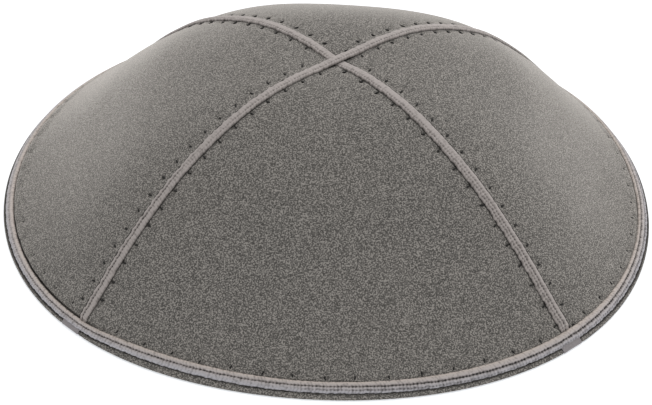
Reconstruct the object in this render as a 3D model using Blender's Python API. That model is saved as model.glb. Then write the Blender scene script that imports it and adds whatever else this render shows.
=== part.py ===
"""A kippah: a round skullcap sewn from four suede gores. Narrow braid covers the seams, a wider braid
runs round the rim, and inside a tape covers each seam and turns round the rim at its ends.

Metres, +Z up. The cap stands on its rim, whose centre is the origin, with its front gore towards -Y.
A place on the cap is given by two numbers. turn goes round it and is a whole number at each seam, and
out goes from 0 at the crown, where the seams cross, to 1 at the rim."""

import math

import bmesh
import bpy
import numpy as np

# Driving dimensions: the cap
RIM_LENGTH = 0.1754  # the longer way across the rim, over the suede
RIM_WIDTH = 0.1651  # the shorter way
CROWN_HEIGHT = 0.0467  # from the lower edge to the suede where the seams cross
CROWN_SHIFT_X = 0.0031  # the seams cross a little to one side of the rim's centre
CROWN_SHIFT_Y = -0.0010
RIM_AZIMUTH_DEG = -22  # of the longer way across

# Driving dimensions: the suede and its hem
SUEDE = 0.0012
HEM_HEIGHT = 0.0090  # along the slope
HEM_THICKNESS = 0.0026  # the wall and the turned edge together
HEM_STEP = 0.0010  # over this length the turned edge ends

# Driving dimensions: the braids and the tape
SEAM_BRAID_WIDTH = 0.0028
SEAM_BRAID_THICKNESS = 0.0008
CROWN_BRAID_SHARE = 0.98  # of that width, at the crown
RIM_BRAID_WIDTH = 0.0031
RIM_BRAID_THICKNESS = 0.0010
RIM_MARGIN = 0.0019  # suede that shows below the rim braid
CROSSING_THICKNESS = 0.0005  # of the lower seam braid, where the other presses it flat
CROSSING_SLOPE = 0.0060  # length over which a braid or tape rises to cross the other
TAPE_WIDTH = 0.0064
TAPE_THICKNESS = 0.0005
TAPE_TUCK = 0.0015  # how far the tape's ends run under the rim braid
GAP = 0.0003  # clearance between pieces
TAPE_GAP = 0.0005  # over the middle of a tape; its edges lie nearer, because the suede curves round them

# Each seam: its azimuth at the rim in degrees, its sideways bow half way down as a share of the rim's
# radius, how strong its corner is, how far the tape's end lies beside the seam at the rim, as a share of a
# gore, and how wide its braid ends at the rim, as a share of SEAM_BRAID_WIDTH
SEAMS = (
    # azimuth, bow, corner, tape, braid
    (-139.0, -0.016, 1.0, -0.016, 0.94),  # front left
    (-44.0, -0.022, 1.0, -0.006, 1.11),  # front right
    (39.5, -0.001, 1.0, 0.000, 1.07),  # back right
    (129.5, 0.024, 0.8, 0.000, 0.92),  # back left
)

# The side view, from crown to rim: the height as a share of CROWN_HEIGHT, and how far the seams stand out
# beyond the mean radius, and the middles of the gores stay within it, as a share of that radius
PROFILE = (
    # out, height, corner
    (0.00, 1.00, 0.000),
    (0.15, 1.01, 0.022),
    (0.30, 0.97, 0.045),
    (0.45, 0.86, 0.053),
    (0.60, 0.69, 0.053),
    (0.75, 0.44, 0.053),
    (0.88, 0.20, 0.037),
    (1.00, 0.00, 0.012),
)

# The rim braid as it was sewn on, round the cap from the front left seam: how much suede shows below it and
# how wide it lies, as shares of RIM_MARGIN and RIM_BRAID_WIDTH
RIM_BRAID_PLACES = (
    # turn, below, width
    (0.0, 0.70, 0.82),
    (0.1, 0.98, 0.92),
    (0.5, 0.98, 0.97),
    (0.8, 0.85, 1.08),
    (1.0, 0.82, 1.10),
    (1.5, 0.35, 0.97),
    (2.0, 0.70, 0.92),
    (3.0, 0.70, 0.92),
    (3.5, 0.40, 0.82),
    (4.0, 0.70, 0.82),
)

# How far out the tapes leave their seams, and over how much of the way they move beside them
TAPE_LEAVES_SEAM = 0.50
TAPE_DRIFT = 0.45

# Half of a braid's upper outline, from its groove to its side: two ribs of cord with a groove between
BRAID_OUTLINE = (
    # across as a share of half the width, height as a share of the thickness
    (0.00, 0.52),
    (0.16, 0.84),
    (0.50, 1.00),
    (0.84, 0.84),
    (1.00, 0.45),
)

# Fineness of the meshes
GORE_COLUMNS = 13
GORE_ROWS = 15  # above the hem
CROWN_STATIONS = 7  # of a braid or tape on each side of the crossing
SLOPE_STATIONS = 23  # from there to the rim
RIM_STATIONS = 100
SLOPE_STEPS = 400  # in which lengths along the slope are added up
DIRECTION_STEP = 0.001  # of turn or out, over which a direction on the face is taken
LEVELLING = 8  # the larger, the nearer to the rim a wall's depth turns level
SHARP_DEG = 40

RIM_RADIUS = (RIM_LENGTH + RIM_WIDTH) / 4
SEAM_COUNT = len(SEAMS)


def clear_scene():
    for obj in list(bpy.data.objects):
        bpy.data.objects.remove(obj)


def make_material(name, colour, roughness):
    material = bpy.data.materials.new(name)
    material.use_nodes = True
    shader = material.node_tree.nodes["Principled BSDF"]
    shader.inputs["Base Color"].default_value = (*colour, 1.0)
    shader.inputs["Roughness"].default_value = roughness
    shader.inputs["Metallic"].default_value = 0.0
    return material


def unit(vectors):
    return vectors / np.linalg.norm(vectors, axis=-1, keepdims=True)


def through(knots, values, at):
    """Smooth curve through a table's column: cubic pieces that share their slope at each row."""
    slopes = np.gradient(values, knots)
    slopes[0] = 0.0
    row = np.clip(np.searchsorted(knots, at, side="right") - 1, 0, len(knots) - 2)
    step = knots[row + 1] - knots[row]
    u = (at - knots[row]) / step
    ends = (1 - u) ** 2 * (1 + 2 * u) * values[row] + u**2 * (3 - 2 * u) * values[row + 1]
    bends = (1 - u) ** 2 * u * slopes[row] - u**2 * (1 - u) * slopes[row + 1]
    return ends + step * bends


def seam_azimuth(number, out):
    """Azimuth of a seam. It bows sideways by bow times the rim's radius, as half a sine wave."""
    azimuths, bows = np.array(SEAMS).T[:2]
    number = np.asarray(number)
    whole_turns = number // SEAM_COUNT
    seam = number % SEAM_COUNT
    return np.radians(azimuths[seam]) + 2 * np.pi * whole_turns + bows[seam] * np.pi * np.sinc(out)


def cap_point(turn, out):
    """Point of the outer face: a dome with a given side view, an oval rim and soft corners at the seams."""
    turn, out = np.broadcast_arrays(np.asarray(turn, float), np.asarray(out, float))
    outs, heights, corners = np.array(PROFILE).T
    seam = np.floor(turn).astype(int)
    share = turn - seam
    before, after = seam_azimuth(seam, out), seam_azimuth(seam + 1, out)
    azimuth = before + share * (after - before)
    strengths = np.array(SEAMS)[:, 2]
    strength = (1 - share) * strengths[seam % SEAM_COUNT] + share * strengths[(seam + 1) % SEAM_COUNT]
    corner = strength * np.cos(2 * np.pi * share) * through(outs, corners, out)
    longer = (RIM_LENGTH - RIM_WIDTH) / (RIM_LENGTH + RIM_WIDTH)
    oval = out * longer * np.cos(2 * (azimuth - math.radians(RIM_AZIMUTH_DEG)))
    radius = RIM_RADIUS * out * (1 + corner) * (1 + oval)
    rise = through(outs, heights, out)
    return np.stack(
        (
            radius * np.cos(azimuth) + CROWN_SHIFT_X * rise,
            radius * np.sin(azimuth) + CROWN_SHIFT_Y * rise,
            CROWN_HEIGHT * rise,
        ),
        axis=-1,
    )


def rim_braid_place(turn):
    """How far above the lower edge the rim braid begins, and how wide it is."""
    turns, below, width = np.array(RIM_BRAID_PLACES).T
    turn = np.mod(turn, SEAM_COUNT)
    return RIM_MARGIN * through(turns, below, turn), RIM_BRAID_WIDTH * through(turns, width, turn)


def seam_braid_width(seam, out):
    """Width of the braid over a seam: it goes evenly from the crown's to the seam's own at the rim."""
    at_rim = np.array(SEAMS)[seam % SEAM_COUNT, 4]
    return SEAM_BRAID_WIDTH * (CROWN_BRAID_SHARE + (at_rim - CROWN_BRAID_SHARE) * out)


def cap_directions(turn, out):
    """Unit vectors at a place on the outer face: round the cap, down the slope and square to the face."""
    step = DIRECTION_STEP
    turn, out = np.broadcast_arrays(np.asarray(turn, float), np.maximum(out, 20 * step))
    around = unit(cap_point(turn + step, out) - cap_point(turn - step, out))
    down = unit(cap_point(turn, out + step) - cap_point(turn, out - step))
    return around, down, unit(np.cross(down, around))


def slope_lengths(turn):
    """Lengths along the outer face from the rim up to the crown, and how far out each one is."""
    outs = np.linspace(1, 0, SLOPE_STEPS + 1)
    steps = np.linalg.norm(np.diff(cap_point(turn, outs), axis=0), axis=1)
    return np.concatenate(([0], np.cumsum(steps))), outs


def out_at(turn, above_rim):
    """How far out lies the place at a given length above the rim, along the slope."""
    return np.interp(above_rim, *slope_lengths(turn))


def inside(turn, out, depth):
    """Point under the outer face by depth. It lies square to the face, and near the rim more and more
    level with it, so that a wall ends flat on the surface that it stands on."""
    square = cap_directions(turn, out)[2]
    level = unit(square * (1, 1, 0))
    share = np.asarray(out)[..., None] ** LEVELLING
    way = unit((1 - share) * square + share * level)
    reach = depth / np.sum(way * square, axis=-1)
    return cap_point(turn, out) - way * reach[..., None]


def add_object(name, points, faces, material=None):
    """Makes an object of a closed mesh, with doubled points made one and the faces turned outwards."""
    mesh = bpy.data.meshes.new(name)
    mesh.from_pydata(points.tolist(), [], faces)
    shape = bmesh.new()
    shape.from_mesh(mesh)
    bmesh.ops.remove_doubles(shape, verts=shape.verts, dist=GAP / 100)
    bmesh.ops.recalc_face_normals(shape, faces=shape.faces)
    shape.to_mesh(mesh)
    shape.free()
    if material:
        mesh.materials.append(material)
    mesh.shade_smooth()
    mesh.set_sharp_from_angle(angle=math.radians(SHARP_DEG))
    obj = bpy.data.objects.new(name, mesh)
    bpy.context.collection.objects.link(obj)
    return obj


def grid_faces(first, columns, rows):
    """Four-sided faces of a grid whose points are numbered from first, column by column."""
    corners = np.arange(first, first + columns * rows).reshape(columns, rows)
    quads = np.stack((corners[:-1, :-1], corners[1:, :-1], corners[1:, 1:], corners[:-1, 1:]), axis=-1)
    return quads.reshape(-1, 4).tolist()


def make_gore(name, seam, material):
    """A gore between seam and the next one: an outer and an inner face joined all round. The inner face
    steps in where the hem is turned up."""
    turns = seam + np.linspace(0, 1, GORE_COLUMNS + 1)
    outs = []
    for turn in turns:
        upper = np.linspace(0, out_at(turn, HEM_HEIGHT + HEM_STEP), GORE_ROWS + 1)
        lower = out_at(turn, np.array((HEM_HEIGHT, HEM_HEIGHT / 2, 0.0)))
        outs.append(np.concatenate((upper, lower)))
    outs = np.array(outs)
    turns = np.broadcast_to(turns[:, None], outs.shape)
    depths = np.full(outs.shape, SUEDE)
    depths[:, GORE_ROWS + 1:] = HEM_THICKNESS
    outer = cap_point(turns, outs)
    inner = inside(turns, outs, depths)

    # Half the clearance is taken off along both seams, and off the tip where they meet.
    start, end = seam_azimuth(seam, 0.0), seam_azimuth(seam + 1, 0.0)
    middle = (start + end) / 2
    tip = GAP / 2 / math.sin((end - start) / 2) * np.array((math.cos(middle), math.sin(middle), 0.0))
    sideways = cap_directions(turns, outs)[0] * (1, 1, 0)
    for face in (outer, inner):
        face[0] += GAP / 2 * unit(sideways[0])
        face[-1] -= GAP / 2 * unit(sideways[-1])
    outer[:, 0] = cap_point(seam, 0.0) + tip
    inner[:, 0] = outer[:, 0] - (0.0, 0.0, SUEDE)

    columns, rows = outs.shape
    count = columns * rows
    faces = grid_faces(0, columns, rows)
    faces += [face[::-1] for face in grid_faces(count, columns, rows)]
    numbers = np.arange(count).reshape(columns, rows)
    border = np.concatenate((numbers[0, :-1], numbers[:-1, -1], numbers[-1, :0:-1])).tolist()
    for here, there in zip(border, border[1:] + [int(numbers[-1, 0])]):
        faces.append([here, there, there + count, here + count])
    points = np.concatenate((outer.reshape(-1, 3), inner.reshape(-1, 3)))
    return add_object(name, points, faces, material)


def sweep(name, path, side, outline, material=None, closed=False):
    """Carries an outline along a path, or one outline for each of its points. The outline's first number
    lies along side and its second square to side and path, lengthened at a bend to keep the thickness."""
    steps = unit(np.roll(path, -1, axis=0) - path)
    arriving = np.roll(steps, 1, axis=0)
    if not closed:
        arriving[0] = steps[0]
        steps[-1] = arriving[-1]
    ahead = (steps + arriving) / 2
    stretch = 1 / np.linalg.norm(ahead, axis=-1, keepdims=True)
    above = unit(np.cross(ahead, side)) * stretch
    rings = path[:, None] + outline[..., :1] * side[:, None] + outline[..., 1:] * above[:, None]
    stations, corners = rings.shape[:2]
    numbers = np.arange(stations * corners).reshape(stations, corners)
    following = np.roll(numbers, -1, axis=0) if closed else numbers[1:]
    current = numbers if closed else numbers[:-1]
    quads = np.stack((current, following, np.roll(following, -1, axis=1), np.roll(current, -1, axis=1)), axis=-1)
    faces = quads.reshape(-1, 4).tolist()
    if not closed:
        faces += [numbers[0].tolist(), numbers[-1, ::-1].tolist()]
    return add_object(name, rings.reshape(-1, 3), faces, material)


def braid_outlines(widths, thicknesses):
    """Closed outline of a braid at each of its stations: flat below, two ribs above."""
    across, height = np.array(BRAID_OUTLINE).T
    right = np.stack((across / 2, height), axis=-1)
    left = right[:0:-1] * (-1, 1)
    below = right[-1] * ((1, 0), (-1, 0))
    return np.concatenate((left, right, below)) * np.stack((widths, thicknesses), axis=-1)[:, None]


def seam_stations(seam, ends_above_rim, crossing):
    """Places along a seam and on along the opposite one, from rim to rim, close together at the crossing.
    It also gives each place's distance from the crown."""
    turns, outs, lengths = [], [], []
    for number, way, end in zip((seam, seam + 2), (-1, 1), ends_above_rim):
        length = slope_lengths(number)[0][-1]
        near = np.linspace(0, crossing, CROWN_STATIONS + 1)
        far = np.linspace(crossing, length - end, SLOPE_STATIONS + 1)[1:]
        distances = np.concatenate((near, far))[::way]
        if way == 1:
            distances = distances[1:]
        turns.append(np.full(len(distances), float(number)))
        outs.append(out_at(number, length - distances))
        lengths.append(distances)
    return np.concatenate(turns), np.concatenate(outs), np.concatenate(lengths)


def hump(distance, flat, slope):
    """1 within flat of the crown, and 0 beyond flat and slope together, with a smooth way down."""
    u = np.clip((distance - flat) / slope, 0, 1)
    return 1 - u**2 * (3 - 2 * u)


def across_path(path, square):
    """Unit vectors across a path on a face, to its left."""
    return unit(np.cross(square, np.gradient(path, axis=0)))


def make_seam_braid(name, seam, rise, press, material):
    """A braid over one seam, the crown and the opposite seam. At the crossing it rises over the other
    braid by rise, or is pressed down by the share press."""
    flat = SEAM_BRAID_WIDTH / 2 + GAP
    ends = [sum(rim_braid_place(number)) + GAP for number in (seam, seam + 2)]
    turns, outs, lengths = seam_stations(seam, ends, flat + CROSSING_SLOPE)
    square = cap_directions(turns, outs)[2]
    crossing = hump(lengths, flat, CROSSING_SLOPE)
    path = cap_point(turns, outs) + square * (GAP + rise * crossing)[:, None]
    widths = seam_braid_width(turns.astype(int), outs)
    outlines = braid_outlines(widths, SEAM_BRAID_THICKNESS * (1 - press * crossing))
    return sweep(name, path, across_path(path, square), outlines, material)


def make_rim_braid(name, material):
    """The braid round the rim: a ring that keeps near the lower edge all round."""
    turns = np.linspace(0, SEAM_COUNT, RIM_STATIONS, endpoint=False)
    below, widths = rim_braid_place(turns)
    outs = np.array([out_at(turn, height) for turn, height in zip(turns, below + widths / 2)])
    down, square = cap_directions(turns, outs)[1:]
    path = cap_point(turns, outs) + GAP * square
    outlines = braid_outlines(widths, np.full(RIM_STATIONS, RIM_BRAID_THICKNESS))
    return sweep(name, path, -down, outlines, material, closed=True)


def up_slope(turn, rise):
    """The way up the slope at the rim that gains a given height."""
    down = cap_directions(turn, 1.0)[1]
    return -down / -down[2] * rise


def tape_end(turn, reach_in=0.0, past=0.0):
    """A tape's route round the rim at a seam: at the foot of its inner run, at the outer edge, and at its
    end under the rim braid. Its outer run lies flush with the suede."""
    half = TAPE_THICKNESS / 2
    foot = inside(turn, 1.0, HEM_THICKNESS + TAPE_GAP + half) + up_slope(turn, half)
    edge = inside(turn, 1.0, half) + up_slope(turn, half)
    foot = foot + reach_in * unit(foot - edge)
    end_out = out_at(turn, rim_braid_place(turn)[0] + TAPE_TUCK + past)
    end = edge + (cap_point(turn, end_out) - cap_point(turn, 1.0))
    return foot, edge, end


def tape_outline(width, thickness):
    return np.array(((1, 1), (-1, 1), (-1, -1), (1, -1))) * (width / 2, thickness / 2)


def tape_turn(seam, out):
    """Where a seam's tape lies: along the seam, and lower down a little beside it."""
    beside = np.array(SEAMS)[seam % SEAM_COUNT, 3]
    return seam + beside * (1 - hump(np.asarray(out), TAPE_LEAVES_SEAM, TAPE_DRIFT))


def make_seam_tape(name, seam, sink, material):
    """A tape inside, over one seam, the crown and the opposite seam. It passes under what it crosses, and
    its ends turn round the rim."""
    flat = TAPE_WIDTH / 2 + GAP
    ends_above_rim = (2 * TAPE_THICKNESS, 2 * TAPE_THICKNESS)
    turns, outs, lengths = seam_stations(seam, ends_above_rim, flat + CROSSING_SLOPE)
    ends = np.where(turns == seam, slope_lengths(seam)[0][-1], slope_lengths(seam + 2)[0][-1])
    ramp = np.clip((ends - lengths - HEM_HEIGHT - HEM_STEP) / HEM_HEIGHT, 0, 1)
    wall = HEM_THICKNESS + (SUEDE - HEM_THICKNESS) * ramp
    depth = wall + TAPE_GAP + TAPE_THICKNESS / 2 + sink * hump(lengths, flat, CROSSING_SLOPE)
    turns = tape_turn(turns.astype(int), outs)
    run = inside(turns, outs, depth)
    side = across_path(run, cap_directions(turns, outs)[2])
    start, finish = tape_turn(seam, 1.0), tape_turn(seam + 2, 1.0)
    first, last = tape_end(start), tape_end(finish)
    path = np.concatenate((first[::-1], run, last))
    side_first = -np.array([cap_directions(start, 1.0)[0]] * len(first))
    side_last = np.array([cap_directions(finish, 1.0)[0]] * len(last))
    side = np.concatenate((side_first, side, side_last))
    return sweep(name, path, side, tape_outline(TAPE_WIDTH, TAPE_THICKNESS), material)


def make_notch_cutter(name, seam):
    """The room that a tape's end needs in the rim: its route, larger by the clearance all round."""
    place = tape_turn(seam, 1.0)
    path = np.array(tape_end(place, reach_in=HEM_THICKNESS, past=GAP))
    side = np.array([cap_directions(place, 1.0)[0]] * len(path))
    outline = tape_outline(TAPE_WIDTH + 2 * GAP, TAPE_THICKNESS + 2 * GAP)
    cutter = sweep(name, path, side, outline)
    cutter.hide_render = True
    cutter.display_type = "WIRE"
    return cutter


def cut(obj, cutter):
    modifier = obj.modifiers.new(cutter.name, "BOOLEAN")
    modifier.operation = "DIFFERENCE"
    modifier.solver = "EXACT"
    modifier.object = cutter


clear_scene()
suede = make_material("suede", (0.175, 0.165, 0.155), 0.95)
braid = make_material("soutache", (0.37, 0.335, 0.32), 0.7)
tape = make_material("cotton_tape", (0.40, 0.38, 0.36), 0.8)

gores = [
    make_gore(name, seam, suede)
    for seam, name in enumerate(("gore_front", "gore_right", "gore_back", "gore_left"))
]
for seam, place in enumerate(("front_left", "front_right", "back_right", "back_left")):
    notch = make_notch_cutter("notch_" + place, seam)
    cut(gores[seam - 1], notch)
    cut(gores[seam], notch)

make_seam_braid("seam_braid_under", 1, 0.0, 1 - CROSSING_THICKNESS / SEAM_BRAID_THICKNESS, braid)
make_seam_braid("seam_braid_over", 0, CROSSING_THICKNESS + GAP, 0.0, braid)
make_rim_braid("rim_braid", braid)
make_seam_tape("seam_tape_upper", 1, 0.0, tape)
make_seam_tape("seam_tape_lower", 0, TAPE_THICKNESS + GAP, tape)
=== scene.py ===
"""The looks of a suede kippah: its four gores with their nap and hems, the soutache over the seams and
round the rim, the hand stitches that hold the tapes inside, and the light that it stands in.

Metres, +Z up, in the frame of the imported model: the rim's centre is the origin and the front is -Y."""

import math

import bmesh
import bpy
import numpy as np
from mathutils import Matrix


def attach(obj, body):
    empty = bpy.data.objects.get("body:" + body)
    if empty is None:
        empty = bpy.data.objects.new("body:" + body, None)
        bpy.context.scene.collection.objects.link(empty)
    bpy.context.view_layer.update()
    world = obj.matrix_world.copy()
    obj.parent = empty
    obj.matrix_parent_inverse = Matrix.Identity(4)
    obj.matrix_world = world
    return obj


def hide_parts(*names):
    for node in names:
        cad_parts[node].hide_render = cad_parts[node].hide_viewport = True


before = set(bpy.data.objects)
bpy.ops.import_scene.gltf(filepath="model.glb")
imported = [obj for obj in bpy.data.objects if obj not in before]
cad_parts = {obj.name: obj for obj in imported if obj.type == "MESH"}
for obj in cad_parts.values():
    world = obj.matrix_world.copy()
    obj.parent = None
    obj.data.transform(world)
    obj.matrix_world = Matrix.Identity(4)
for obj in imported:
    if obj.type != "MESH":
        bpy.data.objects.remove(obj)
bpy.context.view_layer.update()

# The table, the light and the camera
# A matt white table top that glows a little, as one lit from below does for cut-out pictures, so that
# the cap throws hardly any shadow. One wide soft light hangs above, behind and a little to the right,
# and the pale room fills in from all sides.
TABLE_RADIUS = 4.0
TABLE_SIDES = 96
TABLE_COLOUR = "#f4f4f2"
TABLE_GLOW = 0.48
GLOW_COLOUR = "#f4f8ff"
MAIN_LIGHT_SIZE = 1.5
MAIN_LIGHT_DISTANCE = 1.5
MAIN_LIGHT_POWER = 13.0
MAIN_LIGHT_TILT = math.radians(38)  # from straight above, towards the back
MAIN_LIGHT_TURN = math.radians(17)  # and a little to the right
SKY_STRENGTH = 0.50
CAMERA_ELEVATION = math.radians(36.5)
CAMERA_DISTANCE = 0.900
CAMERA_ASIDE = 0.00009
CAMERA_RAISED = 0.00027
LENS_MM = 185.6
SENSOR_MM = 36.0


def linear(colour):
    """An sRGB hex colour turned linear: a channel c becomes ((c + 0.055) / 1.055) to the power 2.4, or
    c / 12.92 where it is dark."""
    channels = np.array([int(colour[start:start + 2], 16) for start in (1, 3, 5)]) / 255
    bright = ((channels + 0.055) / 1.055) ** 2.4
    return (*np.where(channels > 0.04045, bright, channels / 12.92), 1.0)


def add(material, kind, inputs=None, **settings):
    """Adds a shader node. settings are its own properties, with stops for a colour ramp's places and
    colours, and inputs holds for each socket the value that it keeps or the output that feeds it."""
    tree = material.node_tree
    node = tree.nodes.new("ShaderNode" + kind)
    for number, (position, colour) in enumerate(settings.pop("stops", ())):
        stripes = node.color_ramp.elements
        stripe = stripes[number] if number < 2 else stripes.new(position)
        stripe.position, stripe.color = position, linear(colour)
    for name, value in settings.items():
        setattr(node, name, value)
    for socket, value in (inputs or {}).items():
        if isinstance(value, bpy.types.NodeSocket):
            tree.links.new(value, node.inputs[socket])
        else:
            node.inputs[socket].default_value = value
    return node


def new_material(name):
    """An empty node material."""
    material = bpy.data.materials.new(name)
    material.use_nodes = True
    material.node_tree.nodes.clear()
    return material


def finish_material(material, surface):
    """Joins the surface to the material's output."""
    add(material, "OutputMaterial", {"Surface": surface.outputs[0]})


table_white = new_material("matt_white_table")
finish_material(
    table_white,
    add(
        table_white,
        "BsdfPrincipled",
        {
            "Base Color": linear(TABLE_COLOUR),
            "Roughness": 0.9,
            "Specular IOR Level": 0.1,
            "Emission Color": linear(GLOW_COLOUR),
            "Emission Strength": TABLE_GLOW,
        },
    ),
)
around = np.linspace(0, 2 * np.pi, TABLE_SIDES, endpoint=False)
edge = np.stack((np.cos(around), np.sin(around), 0 * around), axis=-1) * TABLE_RADIUS
table_mesh = bpy.data.meshes.new("table_top")
table_mesh.from_pydata(edge.tolist(), [], [list(range(len(edge)))])
table_mesh.materials.append(table_white)
table_top = bpy.data.objects.new("table_top", table_mesh)
bpy.context.collection.objects.link(table_top)

world = bpy.data.worlds.new("pale_room")
world.use_nodes = True
sky = world.node_tree.nodes["Background"]
sky.inputs["Color"].default_value = (1.0, 1.0, 1.0, 1.0)
sky.inputs["Strength"].default_value = SKY_STRENGTH
bpy.context.scene.world = world
bpy.context.scene.view_settings.view_transform = "Standard"

main_light = bpy.data.lights.new("main_light", "AREA")
main_light.shape = "SQUARE"
main_light.size = MAIN_LIGHT_SIZE
main_light.energy = MAIN_LIGHT_POWER
lamp = bpy.data.objects.new("main_light", main_light)
lamp.rotation_euler = (-MAIN_LIGHT_TILT, MAIN_LIGHT_TURN, 0.0)
lamp.location = lamp.rotation_euler.to_matrix().col[2] * MAIN_LIGHT_DISTANCE
bpy.context.collection.objects.link(lamp)

view = bpy.data.cameras.new("view")
view.lens = LENS_MM
view.sensor_width = SENSOR_MM
camera = bpy.data.objects.new("view", view)
back = np.array((0.0, -math.cos(CAMERA_ELEVATION), math.sin(CAMERA_ELEVATION)))
upright = np.array((0.0, math.sin(CAMERA_ELEVATION), math.cos(CAMERA_ELEVATION)))
camera.location = back * CAMERA_DISTANCE + upright * CAMERA_RAISED + np.array((CAMERA_ASIDE, 0.0, 0.0))
camera.rotation_euler = (math.pi / 2 - CAMERA_ELEVATION, 0.0, 0.0)
bpy.context.collection.objects.link(camera)
bpy.context.scene.camera = camera

# The four gores
# Grey split suede, 1.2 mm thick, cut in four, sewn edge to edge and turned up inside as a hem. It pulls in
# at the seams and at every hand stitch, and swells a little between them.
RIM_LENGTH = 0.1754
RIM_WIDTH = 0.1651
CROWN_HEIGHT = 0.0467
CROWN_SHIFT_X = 0.0031
CROWN_SHIFT_Y = -0.0010
RIM_AZIMUTH = math.radians(-22)  # of the longer way across
SUEDE = 0.0012
HEM_HEIGHT = 0.0090
HEM_THICKNESS = 0.0026
GAP = 0.0003
SEAM_BRAID_WIDTH = 0.0028
CROWN_BRAID_SHARE = 0.98
RIM_MARGIN = 0.0019
RIM_BRAID_WIDTH = 0.0031
TAPE_WIDTH = 0.0064
TAPE_THICKNESS = 0.0005
TAPE_TUCK = 0.0015
TAPE_LEAVES_SEAM = 0.50
TAPE_DRIFT = 0.45
RIM_RADIUS = (RIM_LENGTH + RIM_WIDTH) / 4
SLOPE_STEPS = 400
SMALL_STEP = 1e-3  # of a gore or of the slope, over which directions and lengths are taken
CROWN_CLEAR = 0.02  # nearer the crown than this, directions are those found here
LEVEL_FROM = 0.80  # how far out a wall's depth begins to turn level, and over how much of the slope
LEVEL_WAY = 0.18

# Each seam: its azimuth at the rim, its bow as a share of the rim's radius, how strong its corner is, the
# tape's place beside it as a share of a gore, and its braid's width at the rim as a share
SEAMS = (
    # azimuth, bow, corner, tape, braid
    (-139.0, -0.016, 1.0, -0.016, 0.94),
    (-44.0, -0.022, 1.0, -0.006, 1.11),
    (39.5, -0.001, 1.0, 0.000, 1.07),
    (129.5, 0.024, 0.8, 0.000, 0.92),
)
# The side view from crown to rim, and how far the seams stand out beyond the mean radius
PROFILE = (
    # out, height, corner
    (0.00, 1.00, 0.000),
    (0.15, 1.01, 0.022),
    (0.30, 0.97, 0.045),
    (0.45, 0.86, 0.053),
    (0.60, 0.69, 0.053),
    (0.75, 0.44, 0.053),
    (0.88, 0.20, 0.037),
    (1.00, 0.00, 0.012),
)
# The rim braid as it was sewn on, from seam to seam: how much suede shows below it and how wide it lies, as
# shares of RIM_MARGIN and RIM_BRAID_WIDTH, and how much the suede swells out over it
RIM_BRAID_PLACES = (
    # turn, below, width, swell
    (0.0, 0.70, 0.82, 0.5),
    (0.1, 0.98, 0.92, 0.1),
    (0.5, 0.98, 0.97, 0.0),
    (0.8, 0.85, 1.08, 0.0),
    (1.0, 0.82, 1.10, 0.0),
    (1.5, 0.35, 0.97, 0.4),
    (2.0, 0.70, 0.92, 0.6),
    (3.0, 0.70, 0.92, 0.6),
    (3.5, 0.40, 0.82, 1.0),
    (4.0, 0.70, 0.82, 0.5),
)


def unit(vectors):
    """Each vector divided by its length."""
    return vectors / np.linalg.norm(vectors, axis=-1, keepdims=True)


def smooth_step(distance, start, length):
    """0 before start, 1 beyond start and length together, with a smooth way between."""
    u = np.clip((distance - start) / length, 0, 1)
    return u**2 * (3 - 2 * u)


def through(knots, values, at):
    """A smooth curve through a table's column: cubic pieces that share their slope at each row."""
    slopes = np.gradient(values, knots)
    slopes[0] = 0.0
    row = np.clip(np.searchsorted(knots, at, side="right") - 1, 0, len(knots) - 2)
    step = knots[row + 1] - knots[row]
    u = (at - knots[row]) / step
    ends = (1 - u) ** 2 * (1 + 2 * u) * values[row] + u**2 * (3 - 2 * u) * values[row + 1]
    bends = (1 - u) ** 2 * u * slopes[row] - u**2 * (1 - u) * slopes[row + 1]
    return ends + step * bends


def rim_braid_place(turn):
    """How far above the rim the rim braid begins, how wide it is, and the suede's share of swell over it,
    each by a smooth curve through its column."""
    turns, *columns = np.array(RIM_BRAID_PLACES).T
    below, wide, swell = [through(turns, column, np.mod(turn, len(SEAMS))) for column in columns]
    return RIM_MARGIN * below, RIM_BRAID_WIDTH * wide, swell


def seam_braid_width(seam, out):
    """The width of the braid over a seam, evenly from the crown to its own at the rim."""
    at_rim = np.array(SEAMS)[seam % len(SEAMS), 4]
    return SEAM_BRAID_WIDTH * (CROWN_BRAID_SHARE + (at_rim - CROWN_BRAID_SHARE) * out)


def seam_azimuth(number, out):
    """A seam's azimuth: its own at the rim, and a sideways bow of half a sine wave on the way up."""
    azimuths, bows = np.array(SEAMS).T[:2]
    seam = number % len(SEAMS)
    whole_turns = number // len(SEAMS)
    return np.radians(azimuths[seam]) + 2 * np.pi * whole_turns + bows[seam] * np.pi * np.sinc(out)


def cap_point(turn, out):
    """A place on the suede's outer face. turn is a whole number at each seam, and out goes from 0 at the
    crown to 1 at the rim. The radius is the rim's times out, stretched to an oval and with soft corners at
    the seams, and the height follows the side view."""
    turn, out = np.broadcast_arrays(np.asarray(turn, float), np.asarray(out, float))
    outs, heights, corners = np.array(PROFILE).T
    seam = np.floor(turn).astype(int)
    share = turn - seam
    before, after = seam_azimuth(seam, out), seam_azimuth(seam + 1, out)
    azimuth = before + share * (after - before)
    strengths = np.array(SEAMS)[:, 2]
    strength = (1 - share) * strengths[seam % len(SEAMS)] + share * strengths[(seam + 1) % len(SEAMS)]
    corner = strength * np.cos(2 * np.pi * share) * through(outs, corners, out)
    longer = (RIM_LENGTH - RIM_WIDTH) / (RIM_LENGTH + RIM_WIDTH)
    oval = out * longer * np.cos(2 * (azimuth - RIM_AZIMUTH))
    radius = RIM_RADIUS * out * (1 + corner) * (1 + oval)
    rise = through(outs, heights, out)
    x = radius * np.cos(azimuth) + CROWN_SHIFT_X * rise
    y = radius * np.sin(azimuth) + CROWN_SHIFT_Y * rise
    return np.stack((x, y, CROWN_HEIGHT * rise), axis=-1)


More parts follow.
